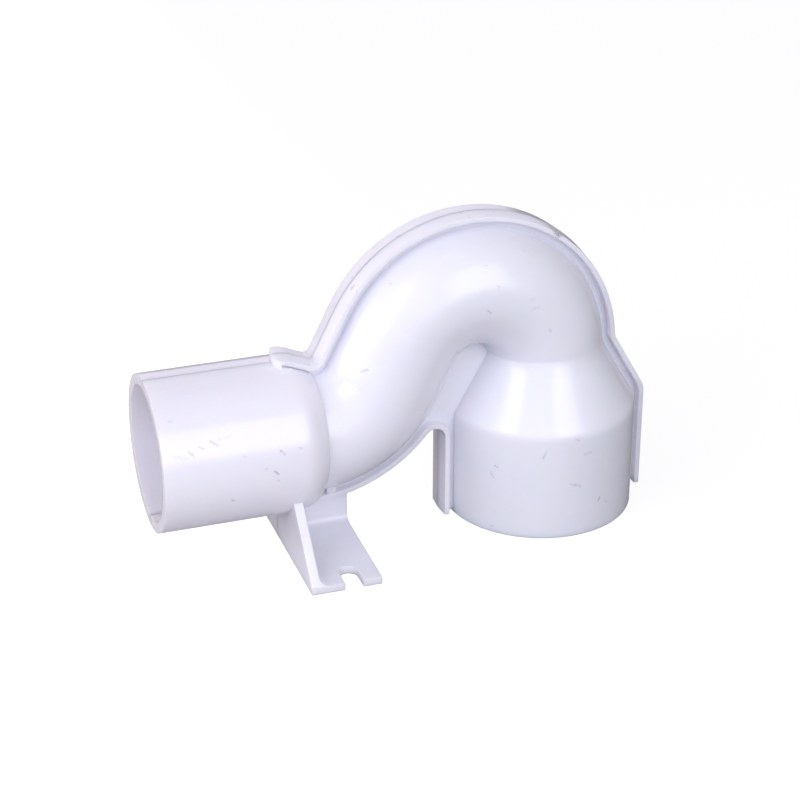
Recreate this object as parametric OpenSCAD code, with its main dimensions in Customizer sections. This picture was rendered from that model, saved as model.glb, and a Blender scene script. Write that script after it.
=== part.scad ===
// Drain trap: a rigid PVC bend joined from two moulded half shells. The shells meet
// on the plane y = 0. The origin is the centre of the big socket's mouth, in the plane
// that the trap stands on, with +Z up through the socket and -X towards the outlet.

/* [Inlet socket] */
// Bore of the big socket, which takes a 56 mm pipe
inlet_bore_d = 56.2; // [50:0.1:60]
// Wall of the big socket
inlet_wall = 2.9; // [2:0.1:4]
// How far the pipe goes into the big socket
inlet_depth = 34; // [26:0.5:38]
// Width of the ledge that stops the pipe in the big socket
inlet_stop = 1.9; // [1:0.1:3]
// Height of the ledge, from its face to the foot of the inner cone
inlet_ledge_h = 4.5; // [3:0.5:6]
// Height of the big socket's straight outside
inlet_h = 36; // [34:0.5:40]
// Slope of the cone above the big socket, measured from its axis
cone_angle = 30; // [26:1:36]

/* [Outlet socket] */
// Bore of the small socket, which takes a 43 mm pipe
outlet_bore_d = 43.3; // [40:0.1:46]
// Wall of the small socket
outlet_wall = 3.45; // [2.5:0.05:4.5]
// How far the pipe goes into the small socket
outlet_depth = 43; // [30:0.5:44]
// Length of the small socket, from its mouth to the end of its round shoulder
outlet_len = 53.7; // [52:0.1:70]
// Radius of the small socket's round shoulder
shoulder_r = 10.5; // [8:0.1:14]
// Height of the small socket's axis above the standing plane
outlet_z = 36.8; // [35:0.1:42]

/* [Bend] */
// Outside diameter of the bent tube
tube_d = 39.4; // [36:0.1:42]
// Wall of the bent tube
tube_wall = 2.8; // [2:0.1:4]
// Radius of the arch, to the middle of the tube
arch_r = 25.5; // [24:0.5:32]
// Lean of the straight leg between the two curves
leg_lean = 27; // [24:1:32]
// Radius of the low curve, to the middle of the tube
low_r = 26; // [25.5:0.5:30]

/* [Flange] */
// Width of the strip that runs round both shells
strip_w = 11.8; // [9:0.1:14]
// Thickness of the strip at its edges
strip_t = 1.6; // [1:0.1:2]
// Extra thickness of the strip along its middle
strip_crown = 0.45; // [0.1:0.05:0.8]
// Free gap between the tube and the strip
strip_gap = 2.1; // [1.5:0.1:2.6]
// Thickness of the web that carries the strip, closes the crotch and rises from the feet
web_t = 6.2; // [4:0.1:8]
// Height of the strip's lower ends above the standing plane
strip_lift = 0.8; // [0.2:0.1:3]
// Radius of the strip's round corner in the crotch
crotch_r = 3.5; // [2:0.5:6]
// Radius of the strip's hollow corner at the top of the cone
kink_r = 4; // [2:0.5:6]

/* [Tongue] */
// Reach of the strip's tongue over the small socket, from the end of the low curve
tongue_reach = 11.4; // [9:0.1:13]
// Height of the tongue's crest above the small socket
tongue_rise = 2.3; // [1.8:0.1:3]
// Height of the slit between the tongue and the ledge under it
slit_h = 0.4; // [0.2:0.1:0.6]

/* [Feet] */
// Width of each foot, along the trap
foot_w = 22.6; // [19:0.1:26]
// Reach of each foot from the middle plane
foot_reach = 39.2; // [36:0.1:60]
// Thickness of each foot at its tip
foot_t = 2.3; // [1.5:0.1:4]
// Thickness of each foot where it meets the upright wall
foot_root_t = 3.6; // [2.5:0.1:6]
// Radius of the fillets on each foot
foot_fillet = 2.5; // [1:0.1:4]
// Thickness of the side gusset
gusset_t = 3; // [2:0.1:5]
// Distance from the middle plane to where the gusset meets the small socket
gusset_top_y = 20.5; // [14:0.5:22]
// Width of the screw slot
slot_w = 6; // [4.5:0.1:8]
// Length of the screw slot, from the foot's tip to its round end
slot_len = 9.2; // [6:0.1:14]
// Distance from the gusset's outer face to the middle of the slot
slot_x = 13.6; // [10:0.1:16]

/* [Hidden] */
$fn = 96;
eps = 0.01;

// Where two lengths meet end on, one laps the other and stands proud of it by proud
lap = 0.4;
tube_lap = 0.25;
proud = 0.03;

// A step by which one shape sinks into the next
sink = 0.6;

// A cut runs past the face it starts from, and a swept corner past the line it ends on
past = 1;
past_a = 1;

function dir(a) = [cos(a), sin(a)];

// Where the line through p along the way a meets the line through q along the way b
function meet(p, a, q, b) = p + a * cross(q - p, b) / cross(a, b);

// Radii of the sockets and of the tube
inlet_r = inlet_bore_d / 2 + inlet_wall;
outlet_r = outlet_bore_d / 2 + outlet_wall;
tube_r = tube_d / 2;
hole_r = tube_r - tube_wall;

// The strip's outer face stands off the tube and the big socket by strip_off
strip_off = strip_gap + strip_t;

// The cone is rounded at the socket, and a hollow curve leads it into the tube at ease_end
cone_round = 6;
ease_r = 14;
ease_end = 10;
half_slope = cone_angle / 2;
cone_dir = dir(90 + cone_angle);
cone_top = inlet_h + (inlet_r - tube_r) / tan(cone_angle);
round_c = [inlet_r - cone_round, inlet_h - cone_round * tan(half_slope)];
cone_start = [inlet_r, inlet_h] + cone_round * tan(half_slope) * cone_dir;
ease_c = [tube_r, cone_top]
    + ease_r * [cos(ease_end), (1 - cos(ease_end) * cos(cone_angle)) / sin(cone_angle)];

// The arch turns about arch_c until the tube leans by leg_lean
arch_z = cone_top - strip_off * tan(half_slope);
arch_c = [-arch_r, arch_z];
arch_end = 180 - leg_lean;
out_dir = dir(arch_end);
leg_dir = dir(arch_end + 90);
leg_start = arch_c + arch_r * out_dir;
leg_len = (outlet_z + low_r - leg_start[1] - low_r * out_dir[1]) / leg_dir[1];

// The low curve turns about low_c until the tube lies level
low_c = leg_start + leg_len * leg_dir + low_r * out_dir;

// The small socket laps a little over the end of the low curve
outlet_lap = 1.8;
mouth_x = low_c[0] + outlet_lap - outlet_len;

// Its round shoulder drops from the socket to a little below the tube
shoulder_drop = outlet_r - tube_r + sink;
shoulder_len = sqrt(shoulder_drop * (2 * shoulder_r - shoulder_drop));

// The strip over the bend, and the two strips that meet in the crotch
flange_r = arch_r + tube_r + strip_off;
side_x = inlet_r + strip_off;
low_strip_r = low_r + tube_r + strip_off;

// The strip's hollow corner at the top of the cone touches the cone's strip and the arch's
kink_from = cone_start + (strip_off + kink_r) * dir(cone_angle);
kink_way = kink_from - arch_c;
kink_on = kink_way * cone_dir;
kink_len = -kink_on - sqrt(pow(kink_on, 2) - kink_way * kink_way + pow(flange_r + kink_r, 2));
kink_c = kink_from + kink_len * cone_dir;
kink_a = atan2(kink_c[1] - arch_c[1], kink_c[0] - arch_c[0]);

// The tongue climbs from its dip beside the leg to a crest near its end
climb_slope = 22.5;
crest_r = 9;
crest_in = 2.2;
dip_r = 2.2;
tongue_x = low_c[0] - tongue_reach;
crest_c = [tongue_x + crest_in, outlet_z + outlet_r + tongue_rise - crest_r];
dip_from = leg_start + (tube_r + strip_off + dip_r) * out_dir;
climb_to = crest_c + (crest_r + dip_r) * dir(90 - climb_slope);
dip_c = meet(dip_from, leg_dir, climb_to, dir(-climb_slope));

// The tongue's end is round in plan, with round corners
end_r = 13;
end_corner = 1.5;
end_wall = 2.1;

// The strip's round corner in the crotch touches the two strips that meet there
crotch_reach = low_strip_r + crotch_r;
crotch_x = -side_x - crotch_r;
crotch_c = [crotch_x, low_c[1] - sqrt(pow(crotch_reach, 2) - pow(crotch_x - low_c[0], 2))];
crotch_a = atan2(crotch_c[1] - low_c[1], crotch_c[0] - low_c[0]);

// The strip under the bend begins a little way under the small socket
strip_tail = 4;

// The feet stand under the end of the small socket
foot_shift = 0.5;
foot_x = low_c[0] - foot_w / 2 + foot_shift;
gusset_step = 0.4;

// A short rib ties the tube to the strip beside the feet
tie_at = 15.4;
tie_t = 3;

// Stands a drawing of the middle plane upright, with its thickness towards the front
module upright() {
    rotate([90, 0, 0]) children();
}

// Front half of a solid of revolution about Z, from its half outline
module half_turn() {
    rotate([0, 0, 180]) rotate_extrude(angle = 180) children();
}

// Front half of a solid of revolution about the small socket's axis, from its mouth inwards
module on_outlet() {
    translate([mouth_x, 0, outlet_z]) rotate([0, 90, 0]) half_turn() children();
}

// Sweeps a section round a centre, from one angle to another
module sweep_arc(centre, from, to) {
    translate(centre) rotate([0, 0, from]) rotate_extrude(angle = to - from) children();
}

// Sweeps a section along a straight way, with a lap at each end and its x to the way's right
module sweep_line(start, heading, length, over = lap) {
    translate(start - over * dir(heading)) rotate([0, 0, heading]) rotate([90, 0, 90])
        linear_extrude(length + 2 * over) mirror([1, 0]) children();
}

// Front half of a round bar's section
module half_disc(radius) {
    intersection() {
        circle(radius);
        translate([-2 * radius, 0]) square([4 * radius, 2 * radius]);
    }
}

// Front half of the flange's section: a web and the crowned strip it carries, with x from
// the tube and grow as the strip's extra on every side
module flange_section(grow = 0) {
    root = -tube_wall / 2;
    under = strip_gap - grow;
    edge = strip_w / 2 + grow;
    translate([root, 0]) square([strip_gap + strip_t / 2 - root, web_t / 2]);
    polygon([[under, 0], [strip_off + strip_crown + grow, 0],
             [strip_off + grow, edge], [under, edge]]);
}

// The same section with its strip towards the sweep's centre
module inward_section(radius, grow = 0) {
    translate([radius, 0]) mirror([1, 0]) flange_section(grow);
}

// Half outline of the big socket and its cone, with x from the socket's axis
module inlet_outline() {
    ease_from = ease_c + ease_r * dir(180 + cone_angle);
    ease_to = ease_c + ease_r * dir(180 + ease_end);
    inner = tube_r - past;
    top = ease_to[1] + (ease_to[0] - inner) / tan(ease_end);
    difference() {
        polygon([[0, 0], [inlet_r, 0], [inlet_r, round_c[1]], cone_start, ease_from,
                 ease_to, [inner, top], [0, top]]);
        translate(ease_c) circle(ease_r - eps);
    }
    intersection() {
        translate(round_c) circle(cone_round + eps);
        translate([0, eps]) square([2 * inlet_r, 2 * inlet_h]);
    }
}

// Half outline of the hollow in the big socket and its cone
module inlet_hollow() {
    bore = inlet_bore_d / 2;
    ledge = bore - inlet_stop;
    polygon([[0, -past], [bore, -past], [bore, inlet_depth], [ledge, inlet_depth],
             [ledge, inlet_depth + inlet_ledge_h], [hole_r + proud, arch_z + tube_lap],
             [0, arch_z + tube_lap]]);
}

// Half outline of the small socket, with x from its axis and y along it from its mouth
module outlet_outline() {
    centre = [outlet_r - shoulder_r, outlet_len - shoulder_len];
    square([outlet_r, centre[1]]);
    intersection() {
        square([2 * outlet_r, outlet_len]);
        union() {
            square([centre[0], 2 * outlet_len]);
            translate(centre) circle(shoulder_r);
        }
    }
}

// Front half of the bent tube as a solid bar
module bend_bar(radius) {
    sweep_arc(arch_c, 0, arch_end) translate([arch_r, 0]) half_disc(radius);
    sweep_line(leg_start, arch_end + 90, leg_len, tube_lap) half_disc(radius + proud);
    sweep_arc(low_c, -90, -leg_lean) translate([low_r, 0]) half_disc(radius);
}

// The flange over the outside of the bend, from the big socket to the tongue's dip
module outer_flange() {
    side = round_c[1] - strip_lift - lap;
    leg = norm(dip_c - dip_from);
    sweep_line([inlet_r, strip_lift + lap], 90, side) flange_section();
    sweep_arc(round_c, 0, cone_angle) translate([cone_round, 0]) flange_section(proud);
    sweep_line(cone_start, 90 + cone_angle, kink_len) flange_section();
    sweep_arc(kink_c, 180 + kink_a - past_a, 180 + cone_angle)
        inward_section(kink_r + strip_off, proud);
    sweep_arc(arch_c, kink_a, arch_end) translate([arch_r + tube_r, 0]) flange_section();
    sweep_line(leg_start + tube_r * out_dir, arch_end + 90, leg) flange_section(proud);
}

// The tongue's part of the flange, with the ledge under it and the wall that closes its end
module tongue_flange() {
    off = dip_r + strip_off;
    climb = norm(climb_to - dip_c);
    sweep_arc(dip_c, -90 - climb_slope, -leg_lean) inward_section(off);
    sweep_line(dip_c - off * dir(90 - climb_slope), 180 - climb_slope, climb)
        flange_section(proud);
    sweep_arc(crest_c, 90 - climb_slope, 90 + climb_slope)
        translate([crest_r - strip_off, 0]) flange_section();
    linear_extrude(strip_w) {
        translate(crest_c) circle(crest_r - strip_t - slit_h);
        translate([tongue_x - past, crest_c[1]])
            square([end_wall + past, crest_r - strip_t / 2]);
    }
}

// Half outline of the tongue from above, with y from the middle plane
module tongue_plan() {
    half = strip_w / 2 + 2 * proud;
    corner_y = half - end_corner;
    end_c = [tongue_x + end_r, 0];
    corner = [end_c[0] - sqrt(pow(end_r - end_corner, 2) - pow(corner_y, 2)), corner_y];
    translate([corner[0], 0]) square([2 * tongue_reach, half]);
    translate(corner) circle(end_corner + eps);
    intersection() {
        translate(end_c) circle(end_r);
        polygon([end_c, end_c - [2 * end_r, 0], end_c + 2 * (corner - end_c)]);
    }
}

// Front half of the tongue, in which the strip dips off the leg and ends on the small socket
module tongue() {
    intersection() {
        upright() tongue_flange();
        translate([0, 0, outlet_z]) mirror([0, 1, 0])
            linear_extrude(2 * outlet_r) tongue_plan();
    }
}

// The flange under the bend, from the small socket round the crotch to the big one
module inner_flange() {
    side = crotch_c[1] - strip_lift - lap;
    sweep_line([low_c[0] - strip_tail, outlet_z - tube_r], 0, strip_tail) flange_section(proud);
    sweep_arc(low_c, -90, crotch_a) translate([low_r + tube_r, 0]) flange_section();
    sweep_arc(crotch_c, -past_a, 180 + crotch_a + past_a)
        inward_section(crotch_r + strip_off, proud);
    sweep_line([-inlet_r, crotch_c[1]], -90, side) flange_section();
}

// Front half of the web where it closes the crotch between the leg and the cone
module crotch_plate() {
    linear_extrude(web_t / 2) difference() {
        polygon([low_c + (low_strip_r - strip_t / 2) * dir(crotch_a), crotch_c,
                 [-side_x + strip_t / 2, crotch_c[1]], [0, crotch_c[1]], [0, arch_z],
                 arch_c + [0, arch_r], leg_start, low_c + low_r * dir(crotch_a)]);
        translate(crotch_c) circle(crotch_r + strip_t / 2);
    }
}

// Front half of the upright wall over the feet, up to the strip under the low curve
module upright_wall() {
    linear_extrude(web_t / 2) difference() {
        translate([foot_x, 0]) square([foot_w, outlet_z]);
        translate(low_c) circle(low_strip_r - strip_t / 2);
    }
}

// Front half of the rib that ties the tube to the strip beside the feet
module tie_rib() {
    linear_extrude(strip_w / 2 - strip_t / 2) intersection() {
        translate([foot_x + tie_at, 0]) square([tie_t, outlet_z]);
        translate(low_c) circle(low_strip_r - strip_t / 2);
    }
}

// A profile across the foot, with x from the middle plane outwards, run along X
module along_foot(x, length) {
    translate([x, 0, 0]) rotate([90, 0, 90]) linear_extrude(length) mirror([1, 0]) children();
}

// Outline under the gusset's sloping edge
module gusset_outline() {
    foot_end = foot_reach - gusset_step;
    tip = [foot_end, foot_t];
    top = [gusset_top_y, outlet_z - sqrt(pow(outlet_r, 2) - pow(gusset_top_y, 2))];
    inside = top + sink * (top - tip) / norm(top - tip);
    polygon([[0, 0], [foot_end, 0], tip, inside, [0, outlet_z]]);
}

// Fillet of the foot's top, in the corner beside the upright wall
module wall_fillet() {
    reach = foot_root_t - foot_t + foot_fillet;
    difference() {
        translate([web_t / 2 - eps, foot_t]) square(reach);
        translate([web_t / 2 + foot_fillet, foot_root_t + foot_fillet]) circle(foot_fillet);
        translate([web_t / 2 + foot_fillet, foot_t]) square(reach);
    }
}

// Fillet of the foot's top, in the corner beside the gusset
module gusset_fillet() {
    difference() {
        translate([-eps, -eps]) square(foot_fillet);
        translate([foot_fillet, foot_fillet]) circle(foot_fillet);
    }
}

// The front foot, with its gusset, fillets and open screw slot
module foot() {
    difference() {
        union() {
            along_foot(foot_x, foot_w)
                polygon([[0, 0], [foot_reach, 0], [foot_reach, foot_t],
                         [web_t / 2, foot_root_t], [0, foot_root_t]]);
            along_foot(foot_x, foot_w) wall_fillet();
            along_foot(foot_x, gusset_t) gusset_outline();
            intersection() {
                along_foot(foot_x, foot_w) gusset_outline();
                translate([foot_x + gusset_t, 0, foot_t]) upright()
                    linear_extrude(foot_reach) gusset_fillet();
            }
        }
        translate([foot_x + slot_x, -foot_reach + slot_len - slot_w / 2, -past]) {
            cylinder(h = foot_root_t + 2 * past, d = slot_w);
            translate([-slot_w / 2, -slot_len, 0])
                cube([slot_w, slot_len, foot_root_t + 2 * past]);
        }
    }
}

// The half of the trap in front of the middle plane
module half_trap() {
    difference() {
        union() {
            half_turn() inlet_outline();
            on_outlet() outlet_outline();
            upright() {
                bend_bar(tube_r);
                outer_flange();
                inner_flange();
                crotch_plate();
                upright_wall();
                tie_rib();
            }
            tongue();
            foot();
        }
        half_turn() inlet_hollow();
        on_outlet() translate([0, -past]) square([outlet_bore_d / 2, outlet_depth + past]);
        on_outlet() square([hole_r + proud, low_c[0] - mouth_x + lap]);
        upright() bend_bar(hole_r);
    }
}

module front_half_shell() {
    color("whitesmoke") half_trap();
}

module rear_half_shell() {
    color("gainsboro") mirror([0, 1, 0]) half_trap();
}

front_half_shell();
rear_half_shell();
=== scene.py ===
# %% [markdown]
# # Dressing a moulded drain trap
#
# The trap is a rigid PVC bend. Two half shells, one in front and one behind, were
# moulded apart and welded along the middle plane. Its shape is already complete in
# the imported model, so this script gives it its finish: glossy white plastic, the
# weld seam, the scuffs and the dirt of handling, a studio and a camera.
#
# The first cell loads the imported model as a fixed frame. Nothing here moves it.

# %% Load the frame
import math

import bpy
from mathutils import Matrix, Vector
from mathutils.bvhtree import BVHTree


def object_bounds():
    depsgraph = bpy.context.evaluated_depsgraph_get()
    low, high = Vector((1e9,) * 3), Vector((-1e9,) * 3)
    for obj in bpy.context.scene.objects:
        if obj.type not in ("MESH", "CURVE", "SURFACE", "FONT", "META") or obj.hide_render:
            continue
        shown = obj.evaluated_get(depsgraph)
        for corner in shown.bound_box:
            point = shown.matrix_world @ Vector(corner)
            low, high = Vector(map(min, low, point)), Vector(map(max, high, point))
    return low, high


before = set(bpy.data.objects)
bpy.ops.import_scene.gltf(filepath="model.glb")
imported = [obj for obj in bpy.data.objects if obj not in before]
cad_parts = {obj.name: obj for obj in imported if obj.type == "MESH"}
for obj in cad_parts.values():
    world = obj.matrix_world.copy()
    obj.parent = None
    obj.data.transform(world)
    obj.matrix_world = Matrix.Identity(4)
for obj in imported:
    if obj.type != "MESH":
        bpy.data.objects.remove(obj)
cad_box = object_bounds()
shells = [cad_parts["front_half_shell"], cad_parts["rear_half_shell"]]
print("half shells:", [shell.name for shell in shells])

# %% [markdown]
# ## Sizes
#
# Blender works in metres here, and the trap was measured in millimetres. One named
# factor turns one into the other, so the numbers below read as they would on a
# drawing. The origin is the centre of the big socket's mouth, +Z runs up through the
# socket, and -X points towards the small socket.

# %% Name the units and measure the trap
MM = 0.001
low, high = [Vector(corner) for corner in cad_box]
middle = (low + high) / 2
print("overall size in mm:", [round(side / MM, 1) for side in high - low])

# %% [markdown]
# ## Camera
#
# The camera stands where the photograph was taken from: to the left, a little above,
# about 0.67 m from the trap. A lens of 94 mm on a 36 mm sensor gives the same gentle
# perspective. It comes this early because the wear further down is placed through it.

# %% Camera
LENS = 93.95
SENSOR = 36.0
EYE = Vector((-241.3, -565.8, 337.8)) * MM
LOOK_AT = Vector((-48.18, 0.0, 42.01)) * MM

camera_data = bpy.data.cameras.new("camera")
camera_data.lens = LENS
camera_data.sensor_width = SENSOR
camera_data.clip_start = 0.01
camera = bpy.data.objects.new("camera", camera_data)
bpy.context.scene.collection.objects.link(camera)
camera.location = EYE
camera.rotation_euler = (LOOK_AT - EYE).to_track_quat("-Z", "Y").to_euler()
bpy.context.scene.camera = camera
bpy.context.view_layer.update()
print("camera at", [round(c, 3) for c in camera.location])

# %% [markdown]
# ## Finding a place on the shells
#
# Wear belongs to a spot on the surface, but it is easiest to point at in the picture.
# So a mark is named by where it shows in the square picture, and a ray from the camera
# through that spot finds the point on the plastic. From there on the mark has a real
# place in space, and it stays there in every other view.

# %% Cast a ray from the camera onto the shells
PICTURE = 800
trees = []
for shell in shells:
    corners = [vertex.co.copy() for vertex in shell.data.vertices]
    faces = [tuple(face.vertices) for face in shell.data.polygons]
    trees.append(BVHTree.FromPolygons(corners, faces))


def on_shell(u, v):
    """The first point of the shells behind spot (u, v) of the picture."""
    across = (u / PICTURE - 0.5) * SENSOR
    up = (0.5 - v / PICTURE) * SENSOR
    way = camera.matrix_world.to_3x3() @ Vector((across, up, -LENS)).normalized()
    hits = [tree.ray_cast(EYE, way) for tree in trees]
    hits = [hit for hit in hits if hit[0] is not None]
    if not hits:
        raise ValueError(f"spot {u}, {v} misses the trap")
    return min(hits, key=lambda hit: hit[3])[0]


print("shoulder in mm:", [round(c / MM, 1) for c in on_shell(330, 430)])


# %% [markdown]
# ## A small kit for node graphs
#
# A material in Blender is a graph of nodes. Building one by hand in a script takes
# many lines that all look alike, so this helper class adds a node, sets its inputs
# and links it in one call. It works on a material's graph and on a node group alike.

# %% Helper for building node graphs
class Graph:
    """Adds nodes to one node tree and links them."""

    def __init__(self, tree):
        self.tree = tree

    def add(self, kind, settings=None, **inputs):
        node = self.tree.nodes.new(kind)
        for key, value in (settings or {}).items():
            setattr(node, key, value)
        for key, value in inputs.items():
            self.feed(node.inputs[key.replace("_", " ")], value)
        return node

    def feed(self, socket, value):
        if isinstance(value, bpy.types.NodeSocket):
            self.tree.links.new(value, socket)
        else:
            socket.default_value = value

    def math(self, operation, first, second=0.0, clamp=False):
        node = self.add("ShaderNodeMath", {"operation": operation, "use_clamp": clamp})
        self.feed(node.inputs[0], first)
        self.feed(node.inputs[1], second)
        return node.outputs[0]

    def vector(self, operation, first, second=None, scale=None):
        node = self.add("ShaderNodeVectorMath", {"operation": operation})
        self.feed(node.inputs[0], first)
        if second is not None:
            self.feed(node.inputs[1], second)
        if scale is not None:
            self.feed(node.inputs["Scale"], scale)
        number = operation in ("DOT_PRODUCT", "LENGTH", "DISTANCE")
        return node.outputs["Value" if number else "Vector"]

    def ramp(self, value, from_low, from_high, to_low=0.0, to_high=1.0, smooth=True):
        kind = "SMOOTHSTEP" if smooth else "LINEAR"
        node = self.add("ShaderNodeMapRange", {"interpolation_type": kind})
        for socket, number in zip(node.inputs, (value, from_low, from_high, to_low, to_high)):
            self.feed(socket, number)
        return node.outputs["Result"]

    def noise(self, place, scale, detail=2.0, roughness=0.5):
        node = self.add("ShaderNodeTexNoise", Vector=place, Scale=scale, Detail=detail,
                        Roughness=roughness)
        return node

    def mix(self, factor, first, second):
        node = self.add("ShaderNodeMix", {"data_type": "RGBA"})
        self.feed(node.inputs[0], factor)
        self.feed(node.inputs[6], first)
        self.feed(node.inputs[7], second)
        return node.outputs[2]


def new_material(name):
    material = bpy.data.materials.new(name)
    material.use_nodes = True
    material.node_tree.nodes.clear()
    return material, Graph(material.node_tree)


print("graph helper ready")

# %% [markdown]
# ## One scuff
#
# A scuff is a short stroke that something hard left on the plastic. The node group
# below measures how far a point lies from that stroke, as a distance to a short line
# in space, and turns the distance into a soft mask. A distance needs no unwrapping,
# and it works on a bend as well as on a flat foot. The group takes the mask so far and
# keeps the stronger of the two, so any number of scuffs can be chained.

# %% Node group for one scuff
def make_scuff_group():
    group = bpy.data.node_groups.new("scuff", "ShaderNodeTree")
    for name, kind in (("Place", "NodeSocketVector"), ("Start", "NodeSocketVector"),
                       ("Span", "NodeSocketVector"), ("Reach", "NodeSocketFloat"),
                       ("Strength", "NodeSocketFloat"), ("So Far", "NodeSocketFloat")):
        group.interface.new_socket(name=name, in_out="INPUT", socket_type=kind)
    group.interface.new_socket(name="Mask", in_out="OUTPUT", socket_type="NodeSocketFloat")
    g = Graph(group)
    inputs = g.add("NodeGroupInput").outputs
    away = g.vector("SUBTRACT", inputs["Place"], inputs["Start"])
    along = g.vector("DOT_PRODUCT", away, inputs["Span"])
    length_squared = g.vector("DOT_PRODUCT", inputs["Span"], inputs["Span"])
    share = g.math("DIVIDE", along, length_squared, clamp=True)
    nearest = g.vector("SCALE", inputs["Span"], scale=share)
    distance = g.vector("DISTANCE", away, nearest)
    mask = g.math("MULTIPLY", g.ramp(distance, inputs["Reach"], 0.0), inputs["Strength"])
    out = g.add("NodeGroupOutput")
    g.feed(out.inputs["Mask"], g.math("MAXIMUM", mask, inputs["So Far"]))
    return group


scuff_group = make_scuff_group()
print("scuff group has", len(scuff_group.nodes), "nodes")

# %% [markdown]
# ## Where the marks are
#
# Each mark is one line of the list: where its stroke starts and ends in the picture,
# how wide it is in millimetres and how dark. Most are grey scuffs from other fittings
# in the same bin. A few specks of dirt sit on the strip, and the strip's far edge
# carries two brown smudges.

# %% Marks seen in the picture
SCUFFS = [
    # On the small socket, a skipping scrape and some dents
    ((210.5, 441.2), (217.0, 445.0), 0.55, 0.50),
    ((199.5, 446.8), (204.5, 449.5), 0.55, 0.42),
    ((188.5, 452.5), (193.5, 455.5), 0.60, 0.42),
    ((176.0, 457.5), (186.0, 458.5), 1.00, 0.16),
    ((224.0, 437.5), (231.0, 435.5), 0.60, 0.16),
    ((219.0, 439.5), (220.5, 439.5), 0.60, 0.20),
    ((280.7, 450.7), (284.0, 453.5), 0.60, 0.65),
    ((299.7, 447.8), (302.0, 449.0), 0.60, 0.42),
    ((274.5, 471.5), (278.5, 474.5), 0.50, 0.80),
    ((265.5, 469.0), (267.0, 469.6), 0.60, 0.30),
    ((278.0, 480.0), (280.0, 481.5), 0.50, 0.30),
    ((243.5, 455.5), (246.0, 456.2), 0.80, 0.18),
    ((232.0, 499.5), (234.0, 500.5), 0.70, 0.35),
    ((167.5, 421.5), (172.0, 422.2), 0.60, 0.20),
    # On the bend
    ((361.7, 371.5), (367.8, 369.6), 0.50, 0.75),
    ((487.5, 311.0), (491.0, 313.0), 0.60, 0.45),
    ((497.5, 286.0), (499.5, 287.5), 0.50, 0.40),
    ((390.0, 283.6), (391.6, 284.4), 0.50, 0.35),
    ((486.0, 265.5), (487.5, 266.5), 0.45, 0.35),
    ((531.0, 299.5), (534.5, 300.0), 0.60, 0.30),
    ((534.0, 308.5), (539.0, 307.5), 0.60, 0.25),
    ((550.0, 330.0), (551.5, 331.5), 0.60, 0.35),
    ((522.5, 250.0), (524.5, 250.5), 0.60, 0.25),
    ((457.0, 351.5), (458.3, 353.0), 0.45, 0.75),
    ((470.2, 339.3), (471.2, 339.8), 0.40, 0.60),
    # On the big socket
    ((495.5, 466.0), (498.3, 467.8), 0.60, 0.55),
    ((491.0, 472.2), (493.8, 477.8), 0.60, 0.35),
    ((542.8, 459.0), (547.2, 451.5), 0.50, 0.42),
    ((576.0, 439.0), (579.0, 440.5), 0.60, 0.35),
    ((584.5, 454.5), (591.0, 452.0), 0.60, 0.40),
    ((571.5, 484.3), (580.0, 486.0), 0.70, 0.40),
    ((598.3, 500.5), (600.0, 496.0), 0.50, 0.90),
    ((605.0, 500.8), (606.0, 501.6), 0.50, 0.40),
    ((490.0, 525.2), (493.3, 525.7), 0.55, 0.35),
]
DIRT = [
    # Specks on the strip over the bend
    ((351.2, 289.0), (353.8, 286.5), 0.60, 0.60),
    ((350.8, 278.5), (352.5, 276.5), 0.50, 0.50),
    ((356.5, 274.5), (360.0, 271.0), 0.50, 0.50),
    ((356.2, 291.0), (357.0, 290.0), 0.40, 0.40),
    ((333.2, 307.5), (334.0, 304.0), 0.50, 0.35),
    ((397.0, 236.4), (400.0, 235.6), 0.60, 0.50),
    ((459.0, 212.0), (461.5, 213.2), 0.55, 0.45),
    ((468.5, 217.0), (471.0, 217.4), 0.40, 0.40),
    ((493.5, 211.2), (495.0, 211.6), 0.45, 0.35),
    ((373.5, 248.5), (377.0, 245.0), 0.60, 0.35),
    # Smudges at the strip's far edge
    ((535.0, 217.5), (543.0, 221.5), 0.80, 0.85),
    ((552.5, 229.5), (559.5, 235.5), 1.30, 0.95),
]
print(len(SCUFFS), "scuffs and", len(DIRT), "spots of dirt")


# %% [markdown]
# ## The plastic
#
# Rigid PVC for drains is dense and glossy, a cool white with a hint of lilac. Up close
# it isn't even: the melt left faint clouds, the mould's polish varies, and handling
# leaves hairline scratches that only show where a lamp mirrors in them. Everything is
# driven by the place on the object in millimetres, so nothing needs unwrapping and the
# two shells share one pattern that runs through the seam.

# %% Layers of the plastic's surface
def chain_marks(g, place, marks):
    """Chains one scuff group for each mark and returns the last mask."""
    mask = 0.0
    for start, end, reach, strength in marks:
        first, last = on_shell(*start) / MM, on_shell(*end) / MM
        node = g.add("ShaderNodeGroup", {"node_tree": scuff_group}, Place=place,
                     Start=first, Span=last - first, Reach=reach, Strength=strength,
                     So_Far=mask)
        mask = node.outputs["Mask"]
    return mask


def weld_seam(g, parts, place):
    """A hairline on the middle plane, uneven in width, that fades away in places."""
    wander = g.noise(place, 0.25).outputs["Fac"]
    fade = g.noise(place, 0.03, detail=1.0).outputs["Fac"]
    off = g.math("ABSOLUTE", parts.outputs["Y"])
    width = g.ramp(wander, 0.3, 0.7, 0.10, 0.34)
    line = g.ramp(g.math("DIVIDE", off, width), 1.0, 0.3)
    return g.math("MULTIPLY", line, g.ramp(fade, 0.42, 0.6, 0.15, 1.0))


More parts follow.
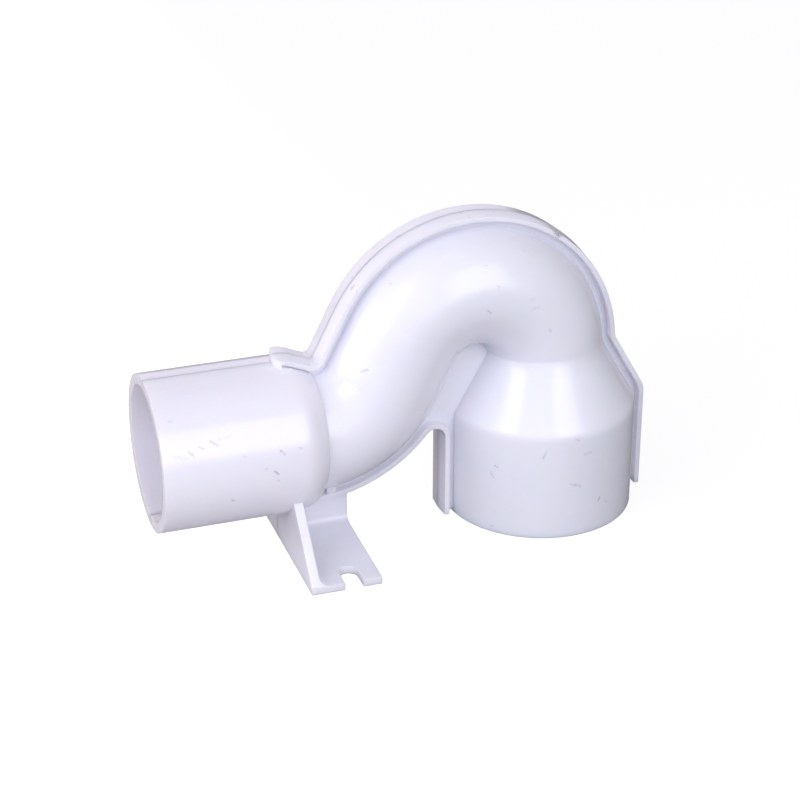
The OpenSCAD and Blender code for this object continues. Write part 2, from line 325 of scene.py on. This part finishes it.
def hairlines(g, place):
    """Hairline scratches in two directions, where stretched noise crosses its middle."""
    lines = 0.0
    for turn in (0.5, 2.0):
        spread = g.add("ShaderNodeMapping", Vector=place, Rotation=(0.4, turn, turn),
                       Scale=(0.05, 1.0, 1.0)).outputs["Vector"]
        fac = g.noise(spread, 0.9, detail=3.0).outputs["Fac"]
        near = g.math("ABSOLUTE", g.math("SUBTRACT", fac, 0.5))
        lines = g.math("MAXIMUM", g.ramp(near, 0.006, 0.0), lines)
    return g.math("MULTIPLY", lines, g.ramp(g.noise(place, 0.06).outputs["Fac"], 0.5, 0.65))


print("surface layers ready")


# %% White PVC
WHITE = (0.885, 0.88, 0.945, 1.0)
CLOUD = (0.87, 0.865, 0.935, 1.0)
SCUFF_GREY = (0.22, 0.21, 0.24, 1.0)
DIRT_BROWN = (0.10, 0.08, 0.07, 1.0)
PVC_IOR = 1.53
GLOSS = (0.14, 0.19)


def white_pvc():
    material, g = new_material("white_pvc")
    coordinates = g.add("ShaderNodeTexCoord").outputs["Object"]
    place = g.vector("SCALE", coordinates, scale=1 / MM)
    parts = g.add("ShaderNodeSeparateXYZ", Vector=place)
    ragged = g.noise(place, 1.5, detail=3.0).outputs["Color"]
    centred = g.vector("SUBTRACT", ragged, (0.5, 0.5, 0.5))
    shaken = g.vector("ADD", place, g.vector("SCALE", centred, scale=1.6))
    grain = g.ramp(g.noise(place, 2.4).outputs["Fac"], 0.40, 0.56, 0.15, 1.0)
    scuffs = g.math("MULTIPLY", chain_marks(g, shaken, SCUFFS), grain)
    dirt = g.math("MULTIPLY", chain_marks(g, shaken, DIRT), grain)
    seam = weld_seam(g, parts, place)
    scratches = hairlines(g, place)

    clouds = g.ramp(g.noise(place, 0.035, detail=3.0).outputs["Fac"], 0.35, 0.65)
    colour = g.mix(clouds, WHITE, CLOUD)
    colour = g.mix(g.math("MULTIPLY", seam, 0.30), colour, SCUFF_GREY)
    colour = g.mix(scuffs, colour, SCUFF_GREY)
    colour = g.mix(dirt, colour, DIRT_BROWN)

    polish = g.noise(place, 0.09, detail=4.0).outputs["Fac"]
    worn = g.math("MAXIMUM", g.math("MAXIMUM", scuffs, dirt), scratches)
    roughness = g.math("ADD", g.ramp(polish, 0.3, 0.7, *GLOSS), g.math("MULTIPLY", worn, 0.3))

    waves = g.noise(place, 0.10, detail=1.0).outputs["Fac"]
    skin = g.noise(place, 1.3, detail=3.0).outputs["Fac"]
    height = g.math("ADD", g.math("MULTIPLY", waves, 0.03), g.math("MULTIPLY", skin, 0.002))
    height = g.math("SUBTRACT", height, g.math("MULTIPLY", seam, 0.03))
    height = g.math("SUBTRACT", height, g.math("MULTIPLY", scratches, 0.002))
    soft_edges = g.add("ShaderNodeBevel", {"samples": 4}, Radius=0.45 * MM)
    bump = g.add("ShaderNodeBump", Height=height, Distance=MM, Strength=1.0,
                 Normal=soft_edges.outputs["Normal"])

    shader = g.add("ShaderNodeBsdfPrincipled", Base_Color=colour, Roughness=roughness,
                   Normal=bump.outputs["Normal"])
    shader.inputs["IOR"].default_value = PVC_IOR
    shader.inputs["Subsurface Weight"].default_value = 0.5
    shader.inputs["Subsurface Radius"].default_value = (1.0, 0.7, 0.6)
    shader.inputs["Subsurface Scale"].default_value = 5.0 * MM
    out = g.add("ShaderNodeOutputMaterial")
    g.feed(out.inputs["Surface"], shader.outputs["BSDF"])
    return material


plastic = white_pvc()
for shell in shells:
    shell.data.materials.clear()
    shell.data.materials.append(plastic)
print("plastic with", len(plastic.node_tree.nodes), "nodes on", len(shells), "shells")


# %% [markdown]
# ## Studio
#
# White on white gets its shape from the light alone. The floor shows white to the
# camera, as a table lit from below would, but it throws back far less light than it
# shows, and least on the right. So the undersides and the right-hand flanks of the
# trap keep their shade.

# %% Floor
FLOOR_HALF = 3.0
FLOOR_GLOW = 0.85
BOUNCE_LEFT = 0.5
BOUNCE_RIGHT = 0.2


def make_floor():
    mesh = bpy.data.meshes.new("floor")
    corners = [(-FLOOR_HALF, -FLOOR_HALF, 0), (FLOOR_HALF, -FLOOR_HALF, 0),
               (FLOOR_HALF, FLOOR_HALF, 0), (-FLOOR_HALF, FLOOR_HALF, 0)]
    mesh.from_pydata(corners, [], [(0, 1, 2, 3)])
    floor = bpy.data.objects.new("floor", mesh)
    bpy.context.scene.collection.objects.link(floor)
    material, g = new_material("floor_white")
    place = g.add("ShaderNodeTexCoord").outputs["Object"]
    across = g.add("ShaderNodeSeparateXYZ", Vector=place).outputs["X"]
    bounce = g.ramp(across, low.x, high.x, BOUNCE_LEFT, BOUNCE_RIGHT)
    shader = g.add("ShaderNodeBsdfDiffuse", Color=bounce)
    seen = g.add("ShaderNodeLightPath").outputs["Is Camera Ray"]
    glow = g.add("ShaderNodeEmission", Strength=g.math("MULTIPLY", seen, FLOOR_GLOW))
    both = g.add("ShaderNodeAddShader")
    g.feed(both.inputs[0], shader.outputs["BSDF"])
    g.feed(both.inputs[1], glow.outputs["Emission"])
    out = g.add("ShaderNodeOutputMaterial")
    g.feed(out.inputs["Surface"], both.outputs["Shader"])
    mesh.materials.append(material)
    return floor


make_floor()
print("floor laid")

# %% [markdown]
# ## Lamps
#
# Two softboxes make the two bright bands down the cone and the sockets. Directions are
# given the way a photographer would: an azimuth, counted from straight in front of the
# trap towards the right, and an elevation above the table.


# %% Softboxes
def towards(azimuth, elevation):
    """The direction from the trap to a lamp at this azimuth and elevation."""
    turn, lift = math.radians(azimuth), math.radians(elevation)
    return Vector((math.sin(turn) * math.cos(lift), -math.cos(turn) * math.cos(lift),
                   math.sin(lift)))


def softbox(name, azimuth, elevation, width, height, radiance):
    """A soft rectangular lamp aimed at the trap, as bright as its radiance says."""
    lamp = bpy.data.lights.new(name, "AREA")
    lamp.shape = "RECTANGLE"
    lamp.size = width
    lamp.size_y = height
    lamp.color = LAMP_TINT
    lamp.energy = radiance * math.pi * width * height
    lamp_object = bpy.data.objects.new(name, lamp)
    bpy.context.scene.collection.objects.link(lamp_object)
    way = towards(azimuth, elevation)
    lamp_object.location = middle + LAMP_DISTANCE * way
    lamp_object.rotation_euler = (-way).to_track_quat("-Z", "Y").to_euler()
    lamp_object.visible_camera = False
    return lamp_object


LAMP_DISTANCE = 1.1
LAMP_TINT = (0.96, 0.96, 1.0)
softbox("left_softbox", -60, 30, 0.45, 0.75, 2.9)
softbox("front_softbox", 18, 28, 0.55, 0.85, 2.4)
print("softboxes hung")

# %% [markdown]
# ## Room
#
# The rest of the light comes from the room. It is painted with a few soft lobes, each
# brightest in one direction and fading away from it. The right stays dark on purpose.
# The camera itself sees plain white instead.

# %% World
LOBES = [
    # azimuth, elevation, sharpness, colour
    (-38, 28, 4, (0.95, 0.95, 1.15)),
    (-108, 4, 8, (3.60, 3.20, 3.20)),
    (165, 12, 3, (1.10, 1.03, 1.20)),
    (5, 8, 8, (1.20, 1.16, 1.28)),
    (45, 60, 5, (0.50, 0.47, 0.50)),
]
BACKDROP = 1.05


def make_world():
    world = bpy.data.worlds.new("studio")
    bpy.context.scene.world = world
    world.use_nodes = True
    world.node_tree.nodes.clear()
    g = Graph(world.node_tree)
    way = g.add("ShaderNodeTexCoord").outputs["Generated"]
    room = (0.0, 0.0, 0.0)
    for azimuth, elevation, sharpness, colour in LOBES:
        facing = g.math("MAXIMUM", g.vector("DOT_PRODUCT", way, towards(azimuth, elevation)), 0.0)
        light = g.vector("SCALE", colour, scale=g.math("POWER", facing, sharpness))
        room = g.vector("ADD", light, room)
    seen = g.add("ShaderNodeLightPath").outputs["Is Camera Ray"]
    backdrop = (BACKDROP, BACKDROP, BACKDROP)
    shown = g.add("ShaderNodeMix", {"data_type": "VECTOR"})
    g.feed(shown.inputs[0], seen)
    g.feed(shown.inputs[4], room)
    g.feed(shown.inputs[5], backdrop)
    background = g.add("ShaderNodeBackground", Color=shown.outputs[1])
    out = g.add("ShaderNodeOutputWorld")
    g.feed(out.inputs["Surface"], background.outputs["Background"])


make_world()
bpy.context.scene.view_settings.view_transform = "Standard"
print("room painted with", len(LOBES), "lobes")
